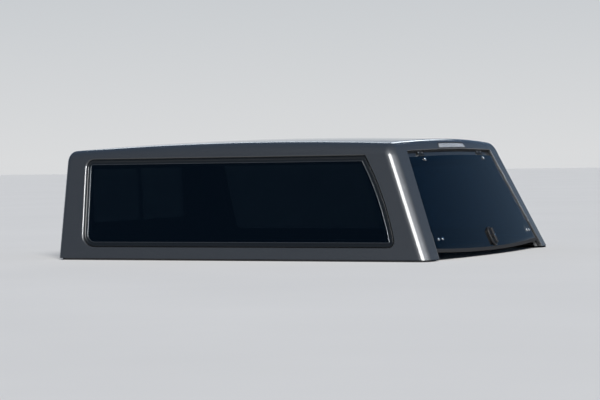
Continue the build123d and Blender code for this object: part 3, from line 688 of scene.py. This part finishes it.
# the finish that each material slot of the record stands for
FINISH = {
    "foam": FOAM, "rail_aluminium": ALUMINIUM, "zinc_steel": ZINC, "black_aluminium": BLACK_BAR,
    "bead": BEAD, "side_glass": SIDE_GLASS, "rear_glass": REAR_GLASS, "rubber": RUBBER,
    "black_steel": BLACK_STEEL, "chrome": CHROME, "nylon": NYLON, "black_plastic": PLASTIC,
    "reflector": REFLECTOR, "lamp_board": BOARD, "lamp_lens": LENS, "pale_plastic": PALE,
    "lining": FELT, "paint": PAINT,
}
for part in frame["record"]["subparts"]:
    mesh = NODES[part["node"]].data
    mesh.materials.clear()
    mesh.materials.append(FINISH[part["material_slot"]])


# ---- painted skin -----------------------------------------------------------------------
LIP = 0.0025               # rounding of a recess's edge
RECESS = 0.012             # depth of the window recess
BEVEL = 0.007              # width of its sloping wall
LEDGE = 0.0135             # inset at which its floor ends, under the bar
FINE = 0.008               # mesh steps near a patch's rim and away from it
COARSE = 0.06
UNDER = -0.02              # the level in a frame that skin points are cast from
BEND_COUNT = 5
FOOT_COUNT = 120           # points along the foot of a side wall, a rear post, the front wall
POST_COUNT = 14
FRONT_COUNT = 90
shell = Build()


def skin_patch(loop, place, holes, fine=FINE, reach=0.075, coarse=COARSE):
    """Part of the outer skin inside a loop of skin points, with the true surface's normals."""
    x, y, _ = place.local(loop)
    outer = np.stack([x, y], 1)
    flat, faces = fill(outer, holes, coarse, fine, reach)
    placed = np.zeros((len(flat), 3))
    placed[: len(loop)] = loop
    rest = place.world(flat[len(loop):, 0], flat[len(loop):, 1], UNDER)
    placed[len(loop):] = cast(rest, place.n, AHEAD_OF_ROOF if place is TOP else AHEAD)[0]
    shell.add(placed, faces, skin_gap(placed)[1])


def height_over(place, flat):
    """How far the skin stands above a frame's plane."""
    return place.local(cast(place.world(flat[:, 0], flat[:, 1], UNDER), place.n)[0])[2]


def bent(start, middle, end):
    """A short curve from start to end that leans towards middle."""
    t = np.linspace(0, 1, BEND_COUNT)[:, None]
    a, b, c = (np.array(q, float) for q in (start, middle, end))
    return list((1 - t) ** 2 * a + 2 * t * (1 - t) * b + t * t * c)


# left wall with its window recess
foot_x = np.linspace(side_front[0, 0], side_rear[0, 0], FOOT_COUNT)
foot = np.stack([foot_x, np.full(FOOT_COUNT, -0.7), np.full(FOOT_COUNT, BASE)], 1)
side_base = cast(foot, (0, -1, 0))[0]
side_base[0], side_base[-1] = side_front[0], side_rear[0]
left_loop = np.vstack(
    [side_base[:-1], side_rear[:-1], side_roof[::-1][:-1], side_front[::-1][:-1]]
)
skin_patch(left_loop, LEFT, [WINDOW.loop(-LIP)])
slant = BEVEL / RECESS
profile = bent((-LIP, 0), (0, 0), (LIP * slant, -LIP))
profile += bent((BEVEL - LIP * slant, -RECESS + LIP), (BEVEL, -RECESS), (BEVEL + 0.001, -RECESS))
profile += [np.array((LEDGE, -RECESS))]
rows = []
for inset, n in profile:
    loop = WINDOW.loop(inset)
    rise = height_over(LEFT, loop) * (1 + n / RECESS)
    rows.append(LEFT.world(loop[:, 0], loop[:, 1], n + rise))
shell.strip(rows)
shell.both_sides()

# roof
rear_rim = np.vstack([roof_rear, flip(roof_rear)[::-1][1:]])
front_rim = np.vstack([roof_front, flip(roof_front)[::-1][1:]])
roof_loop = np.vstack(
    [side_roof[:-1], rear_rim[:-1], flip(side_roof)[::-1][:-1], front_rim[::-1][:-1]]
)
skin_patch(roof_loop, TOP, [])

# rear posts and header around the door recess
GUTTER = 0.640             # top of the door recess, up the door's plane
REVEAL = 0.006             # gap between the glass and the recess
RECESS_CORNER = 0.014
SAG_AT_FOOT = 0.0298       # only a first guess
WALL_FOOT = -0.0138        # level at which the recess's drawn wall ends
LAMP = Outline(
    [(-0.198, 0.648), (0.198, 0.648), (0.176, 0.674), (-0.176, 0.674)], [0] * 4, [0.005] * 4,
    tight=0.002, arc=5, step=0.012,
)


def recess_row(inset, n_above):
    """The door recess's outline from the left foot over the top to the right foot."""
    radius = RECESS_CORNER - inset
    top = GUTTER - inset
    wide = door_half(top, inset - REVEAL)
    lean = math.atan(SLOPE)
    turn = np.linspace(0, math.pi / 2 - lean, 9)
    reach = radius * math.tan((math.pi / 2 - lean) / 2)
    centre = np.array([-wide + reach, top - radius])
    arc = centre + radius * np.stack([-np.cos(turn + lean), np.sin(turn + lean)], 1)
    arc += np.array([0, top]) - np.array([0, arc[-1, 1]])
    start_v = arc[0, 1]
    foot = (BASE - (n_above - SAG_AT_FOOT) * math.sin(REAR_LEAN)) / math.cos(REAR_LEAN)
    for _ in range(3):
        half = door_half(foot, inset - REVEAL)
        foot = (BASE - (n_above - sag(half)) * math.sin(REAR_LEAN)) / math.cos(REAR_LEAN)
    v = np.linspace(foot, start_v, 40)[:-1]
    side = np.stack([-door_half(v, inset - REVEAL), v], 1)
    arc[:, 0] += -door_half(start_v, inset - REVEAL) - arc[0, 0]
    half_row = np.vstack([side, arc, [[-0.3, top], [-0.2, top], [-0.1, top], [0, top]]])
    other = half_row[::-1][1:] * np.array([-1, 1])
    flat = np.vstack([half_row, other])
    return DOOR.world(flat[:, 0], flat[:, 1], n_above - sag(flat[:, 0]))


rim = recess_row(-LIP, PROUD)
foot_y = np.linspace(side_rear[0, 1], rim[0, 1], POST_COUNT)
foot = np.stack([np.full(POST_COUNT, 0.8), foot_y, np.full(POST_COUNT, BASE)], 1)
rear_base = cast(foot, (1, 0, 0))[0]
rear_base[0], rear_base[-1] = side_rear[0], rim[0]
rear_loop = np.vstack([
    rear_base[:-1], rim[:-1], flip(rear_base)[::-1][:-1], flip(side_rear)[:-1],
    rear_rim[::-1][:-1], side_rear[::-1][:-1],
])
skin_patch(rear_loop, DOOR, [LAMP.loop(0)], fine=0.007, reach=0.05, coarse=0.03)
profile = bent((-LIP, PROUD), (0, PROUD), (0, PROUD - LIP)) + [np.array((0, WALL_FOOT))]
shell.strip([recess_row(inset, n) for inset, n in profile], closed=False, turn=True)

# front wall
FRONT_OPENING = Outline(
    [(-0.56, 0.18), (0.56, 0.18), (0.56, 0.51), (-0.56, 0.51)], [0] * 4, [0.024] * 4
)
across = np.linspace(-side_front[0, 1], side_front[0, 1], FRONT_COUNT)
foot = np.stack([np.full(FRONT_COUNT, -0.8), across, np.full(FRONT_COUNT, BASE)], 1)
front_base = cast(foot, (-1, 0, 0))[0]
front_base[0], front_base[-1] = flip(side_front[:1])[0], side_front[0]
front_loop = np.vstack([
    front_base[:-1], side_front[:-1], front_rim[:-1], flip(side_front)[::-1][:-1],
])
skin_patch(front_loop, FRONT, [FRONT_OPENING.loop(0)], reach=0.03)
skin = shell.object("cap_shell_skin", [PAINT])
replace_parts(skin, "cap_shell")

# everything behind the skin comes from the CAD shell: ledges, flange, inner face
ON_SKIN = 0.0004           # a CAD face this near the skin, facing out, is the skin's own
FACING = 0.2
IN_RECESS = 0.0003         # margins within which a face belongs to a drawn recess
BY_WALL = 0.0012
PAINTED = 0.0035           # a face no deeper than this is painted, and so is the door's ledge
source = NODES["cap_shell"].data
points = np.zeros(len(source.vertices) * 3)
source.vertices.foreach_get("co", points)
points = points.reshape(-1, 3)
near_left = points * np.array([1, 0, 1]) - np.abs(points[:, 1])[:, None] * np.array([0, 1, 0])
gap, out = skin_gap(points)
u, v, n = LEFT.local(near_left)
in_window = within(np.stack([u, v], 1), WINDOW.loop(-0.0006))
in_window &= (n > -RECESS - IN_RECESS) & (n < 0.001)
x, w, m = DOOR.local(points)
m_rel = m + sag(x)
walls = recess_row(0, -0.004)
wall_x, wall_v, _ = DOOR.local(walls)
wall_gap = clearance(np.stack([x, w], 1), np.stack([wall_x, wall_v], 1))
on_wall = (wall_gap < BY_WALL) & (m_rel > -0.0143) & (m_rel < 0.0066)
inner = Build()
keep, slots = [], []
for polygon in source.polygons:
    index = list(polygon.vertices)
    facing = np.array(polygon.normal)
    if (np.abs(gap[index]) < ON_SKIN).all() and (out[index] @ facing > FACING).all():
        continue
    if in_window[index].all() or on_wall[index].all():
        continue
    keep.append(index)
    outside = (np.abs(m_rel[index] + 0.014) < 0.0006).all() or (gap[index] > -PAINTED).all()
    slots.append(0 if outside else 1)
used = sorted({i for f in keep for i in f})
renumber = {i: k for k, i in enumerate(used)}
inner.add(points[used], [[renumber[i] for i in f] for f in keep])
inner.slots = slots
liner = inner.object("cap_shell_inner", [PAINT, LINER], sharp=30)
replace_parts(liner, "cap_shell")

# ---- side windows -----------------------------------------------------------------------
bar = rounded_profile(
    [(0.008, -0.0119), (0.008, -0.0042), (0.0155, -0.0042), (0.0168, -0.0061),
     (0.0299, -0.0061), (0.0299, -0.0119)],
    0.0011,
)
bead = rounded_profile(
    [(0.0301, -0.0119), (0.0301, -0.0052), (0.0329, -0.0052), (0.0329, -0.0119)], 0.0012
)
for side_name in ("left", "right"):
    ring = Build()
    swept(ring, LEFT, WINDOW, bar)
    if side_name == "right":
        ring.points = [flip(p) for p in ring.points]
        ring.faces = [f[::-1] for f in ring.faces]
    o = ring.object(f"window_bar_{side_name}", [BLACK_BAR], sharp=60)
    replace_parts(o, f"side_window_frame_{side_name}")
ring = Build()
swept(ring, LEFT, WINDOW, bead)
ring.both_sides()
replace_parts(ring.object("window_beads", [BEAD], sharp=60), "side_window_beads")

# ---- rear door glass --------------------------------------------------------------------
GLASS = 0.005
GLASS_EASE = 0.0012
GLASS_STEP = 0.03
BOLT_HOLE = 0.0052
SHAFT_HOLE = (0, 0.108, 0.007)
bolts = [(0.433, 0.587), (0.643, 0.132), (0.691, 0.132)]
holes = [(s * bx, bv, BOLT_HOLE) for bx, bv in bolts for s in (1, -1)] + [SHAFT_HOLE]
pane = Build()
plate(pane, DOOR, PANE, holes, lambda a, b: -sag(a), lambda a, b: -sag(a) - GLASS,
      GLASS_EASE, GLASS_STEP)
o = pane.object("rear_door_pane", [REAR_GLASS], "rear_door", sharp=50)
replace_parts(o, "rear_door_glass")

# ---- brake light lens -------------------------------------------------------------------
FLUTE = 0.006              # pitch of the flutes on the lens's back
FLUTE_DEPTH = 0.0009
LENS_TOP = 0.0079
LENS_BACK = 0.0052
LENS_RIM = 0.0042
LENS_EASE = 0.0015
LENS_GAP = 0.0006
RIM_INSET = 0.0022
lens = Build()


def lens_loop(inset, level):
    flat = LAMP.loop(inset)
    return DOOR.world(flat[:, 0], flat[:, 1], level - sag(flat[:, 0]))


rows = []
for turn in QUARTER:
    inset = LENS_GAP + LENS_EASE * (1 - math.sin(turn))
    rows.append(lens_loop(inset, LENS_TOP - LENS_EASE * (1 - math.cos(turn))))
rows.append(lens_loop(LENS_GAP, LENS_RIM))
rows.append(lens_loop(RIM_INSET, LENS_RIM))
lens.strip(rows, turn=True)
flat, faces = fill(LAMP.loop(LENS_GAP + LENS_EASE), [], 0.004, 0.004, 0)
lens.add(DOOR.world(flat[:, 0], flat[:, 1], LENS_TOP - sag(flat[:, 0])), faces)
back_rim = LAMP.loop(RIM_INSET)
flat, faces = fill(back_rim, [], 0.0015, 0.0015, 0)
wave = LENS_BACK + FLUTE_DEPTH * np.abs(np.sin(math.pi * flat[:, 0] / FLUTE))
wave[: len(back_rim)] = LENS_RIM
lens.add(DOOR.world(flat[:, 0], flat[:, 1], wave - sag(flat[:, 0])), faces[:, ::-1])
o = lens.object("brake_light_cover", [LENS], sharp=50)
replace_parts(o, "brake_light_lens")

# ---- roof lining ------------------------------------------------------------------------
LINING_TOP = 0.0071        # depths of the felt's two faces under the outer skin
LINING_LOW = 0.0096
AXIS_HEIGHT = 0.2          # height of the line that the felt's points are cast from
EDGE_RISE = 0.394          # from that line up to the felt's long edges
RIPPLE = 0.00018


def inside_skin(p, way, depth):
    """The points moved along way until they lie at a depth under the outer skin."""
    way = way / np.linalg.norm(way, axis=1)[:, None]
    for _ in range(CAST_STEPS):
        d, out_way = skin_gap(p)
        p = p - way * ((d + depth) / np.maximum((out_way * way).sum(1), LEAST_SLOPE))[:, None]
    return p


def sheet_layer(depth, xs, turns, ripple=0.0):
    """One face of the felt: points at a depth under the skin, fanned out over the roof."""
    grid_x, grid_t = np.meshgrid(xs, turns, indexing="ij")
    p = np.stack([grid_x.ravel(), np.zeros(grid_x.size), np.full(grid_x.size, AXIS_HEIGHT)], 1)
    way = np.stack([np.zeros(grid_x.size), np.sin(grid_t.ravel()), np.cos(grid_t.ravel())], 1)
    p = inside_skin(p, way, depth)
    if ripple:
        wobble = np.sin(p[:, 0] * 41 + np.sin(p[:, 1] * 23) * 2) * np.sin(p[:, 1] * 37 + 1.3)
        p[:, 2] += ripple * wobble
    return p.reshape(len(xs), len(turns), 3)


box_low, box_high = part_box("headliner")
turn_end = math.atan2(box_high.y - 0.004, EDGE_RISE)
xs = np.linspace(box_low.x + 0.002, box_high.x - 0.002, 130)
turns = np.linspace(-turn_end, turn_end, 120)
top_layer = sheet_layer(LINING_TOP, xs, turns)
low_layer = sheet_layer(LINING_LOW, xs, turns, RIPPLE)
felt = Build()
felt.strip(low_layer, closed=False)
felt.strip(top_layer, closed=False, turn=True)
felt.strip([
    np.vstack([layer[0], layer[1:, -1], layer[-1][::-1][1:], layer[::-1][1:-1, 0]])
    for layer in (low_layer, top_layer)
])
lining = felt.object("roof_lining", [FELT], sharp=50)
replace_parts(lining, "headliner")
middle_across = np.diff(top_layer[len(xs) // 2], axis=0)
middle_along = np.diff(top_layer[:, len(turns) // 2], axis=0)

# ---- foam seals under the rails ---------------------------------------------------------
FOAM_MIDDLE = 0.005
FOAM_HALF = 0.0049         # half the strip's height
SETBACK = 0.0045           # from the skin in to the strip
FOAM_GAP = 0.0004          # kept clear of the CAD seal's inner side and end
LEAST_WIDTH = 0.010


def foam_strip(name, outer, inner_line, replaces):
    """A foam strip between two lines at the base, its width slightly uneven."""
    section = []
    for turn in np.linspace(0, 2 * math.pi, 28, endpoint=False):
        c, s = math.cos(turn), math.sin(turn)
        section.append((math.copysign(abs(c) ** 0.25, c), math.copysign(abs(s) ** 0.35, s)))
    rows = []
    for i in range(len(outer)):
        middle, half = (outer[i] + inner_line[i]) / 2, (outer[i] - inner_line[i]) / 2
        dent = 1 - 0.012 * (1 + math.sin(i * 1.7) * math.sin(i * 0.31))
        ring = [middle + half * a * dent + np.array([0, 0, FOAM_HALF * b]) for a, b in section]
        rows.append(ring)
    strip = Build()
    strip.strip(rows)
    strip.fan(rows[0], turn=True)
    strip.fan(rows[-1])
    o = strip.object(name, [FOAM], sharp=60)
    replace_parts(o, replaces)


def base_line(points, way):
    """Base points on the skin, moved in by the seal's setback."""
    on_skin, normal = cast(points, way)
    return inside_skin(on_skin, normal * np.array([1, 1, 0.0]), SETBACK)


for side_name, sign in (("left", 1), ("right", -1)):
    low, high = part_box(f"rail_seal_{side_name}")
    inner_y = max(low.y, high.y) if sign > 0 else min(low.y, high.y)
    xs = np.concatenate([np.linspace(low.x + FOAM_GAP, 1.0, 110), np.linspace(1.004, high.x, 60)])
    start = np.stack([xs, np.full(len(xs), -0.6), np.full(len(xs), FOAM_MIDDLE)], 1)
    outer = base_line(start, np.tile((0.0, -1.0, 0.0), (len(xs), 1)))
    inner_edge = -abs(inner_y)
    ok = (outer[:, 1] < inner_edge - LEAST_WIDTH) & (np.abs(outer[:, 2] - FOAM_MIDDLE) < 1e-4)
    outer = outer[ok]
    inside = outer.copy()
    inside[:, 1] = inner_edge - FOAM_GAP
    if sign < 0:
        outer, inside = flip(outer)[::-1], flip(inside)[::-1]
    foam_strip(f"foam_rail_{side_name}", outer, inside, f"rail_seal_{side_name}")
low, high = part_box("rail_seal_front")
ys = np.linspace(0.880, -0.880, 150)
start = np.stack([np.full(len(ys), -0.8), ys, np.full(len(ys), FOAM_MIDDLE)], 1)
outer = base_line(start, np.tile((-1.0, 0.0, 0.0), (len(ys), 1)))
inside = outer.copy()
inside[:, 0] = high.x - FOAM_GAP
foam_strip("foam_rail_front", outer, inside, "rail_seal_front")

# ---- floor, light and camera ------------------------------------------------------------
FLOOR = 60.0
SKY_STRENGTH = 0.85
floor_mesh = bpy.data.meshes.new("floor")
floor_mesh.from_pydata(
    [(-FLOOR, -FLOOR, 0), (FLOOR, -FLOOR, 0), (FLOOR, FLOOR, 0), (-FLOOR, FLOOR, 0)],
    [], [(0, 1, 2, 3)],
)
floor = bpy.data.objects.new("floor", floor_mesh)
bpy.context.scene.collection.objects.link(floor)
floor_mesh.materials.append(
    material("floor_paper", (0.66, 0.645, 0.625), 0.9, vary=0.02, grain=0.6,
             Specular_IOR_Level=0.1)
)

world = bpy.data.worlds.new("soft_sky")
bpy.context.scene.world = world
world.use_nodes = True
sky = world.node_tree
back = sky.nodes["Background"]
coord = sky.nodes.new("ShaderNodeTexCoord")
split = sky.nodes.new("ShaderNodeSeparateXYZ")
sky.links.new(coord.outputs["Generated"], split.inputs["Vector"])
shade = sky.nodes.new("ShaderNodeValToRGB")
# the sky's colour by height, 0 at the horizon and 1 overhead
SKY = (
    (0.00, (0.82, 0.83, 0.84)), (0.08, (0.68, 0.71, 0.74)), (0.18, (0.13, 0.21, 0.32)),
    (0.34, (0.04, 0.10, 0.20)), (0.60, (0.05, 0.11, 0.21)), (1.00, (0.06, 0.13, 0.25)),
)
stops = shade.color_ramp.elements
while len(stops) < len(SKY):
    stops.new(0.5)
for stop, (height, tone) in zip(stops, SKY):
    stop.position = height
    stop.color = (*tone, 1)
sky.links.new(split.outputs["Z"], shade.inputs["Fac"])
sky.links.new(shade.outputs["Color"], back.inputs["Color"])
back.inputs["Strength"].default_value = SKY_STRENGTH


def soft_light(name, at, aim, size, power, color=(1, 1, 1)):
    data = bpy.data.lights.new(name, "AREA")
    data.shape = "RECTANGLE"
    data.size, data.size_y = size
    data.energy = power
    data.color = color
    o = bpy.data.objects.new(name, data)
    bpy.context.scene.collection.objects.link(o)
    o.location = at
    o.rotation_euler = (Vector(aim) - Vector(at)).to_track_quat("-Z", "Y").to_euler()
    return o


def group(name, endings):
    """A collection of the pieces whose names end so, for lights to take in or leave out."""
    made = bpy.data.collections.new(name)
    for o in bpy.data.objects:
        if o.name.endswith(endings):
            made.objects.link(o)
    return made


glowing = group("glowing", ("cap_shell_skin", "window_bar_left", "window_beads"))


def only_reflected(o):
    """Leaves a light only in the gloss of the shell, the left window's bar and the beads."""
    o.visible_diffuse = False
    o.visible_transmission = False
    o.light_linking.receiver_collection = glowing


SUN_FROM = Vector((3.2, -5.0, 5.2))
sun = bpy.data.lights.new("sun", "SUN")
sun.energy = 4.2
sun.angle = math.radians(30)
sun.color = (1.0, 0.985, 0.96)
sun_object = bpy.data.objects.new("sun", sun)
bpy.context.scene.collection.objects.link(sun_object)
sun_object.rotation_euler = (-SUN_FROM).to_track_quat("-Z", "Y").to_euler()
# the sun leaves out the door's pane, which would show it as a white sheet when open
mirror = group("mirror", ("rear_door_pane",))
mirror.collection_objects[0].light_linking.link_state = "EXCLUDE"
sun_object.light_linking.receiver_collection = mirror
only_reflected(soft_light("post_glow", (9.2, -3.8, 4.4), (1.0, -0.8, 0.3), (4.6, 3.4), 2000))
only_reflected(soft_light("bevel_glow", (8.0, -0.8, 2.1), (-1.0, -0.85, 0.3), (2.2, 1.6), 900))
only_reflected(
    soft_light("far_rim", (-3.0, 6.5, 3.6), (0, 0, 0.4), (5.0, 1.2), 60, (0.9, 0.95, 1))
)

ROLL = 0.906               # degrees that the camera turns clockwise about its line of sight
LENS_LENGTH = 133.0        # millimetres, on a sensor 36 mm wide
camera = bpy.data.cameras.new("camera")
camera.sensor_width = 36.0
camera.lens = LENS_LENGTH
camera.dof.use_dof = False
eye = bpy.data.objects.new("camera", camera)
bpy.context.scene.collection.objects.link(eye)
eye.location = (5.443, -11.419, 0.556)
forward = Vector((-0.43426, 0.90057, -0.01993))
roll = Quaternion(forward, math.radians(ROLL))
eye.rotation_euler = (roll @ forward.to_track_quat("-Z", "Y")).to_euler()
camera.clip_end = 200.0
bpy.context.scene.camera = eye
bpy.context.scene.view_settings.view_transform = "Standard"
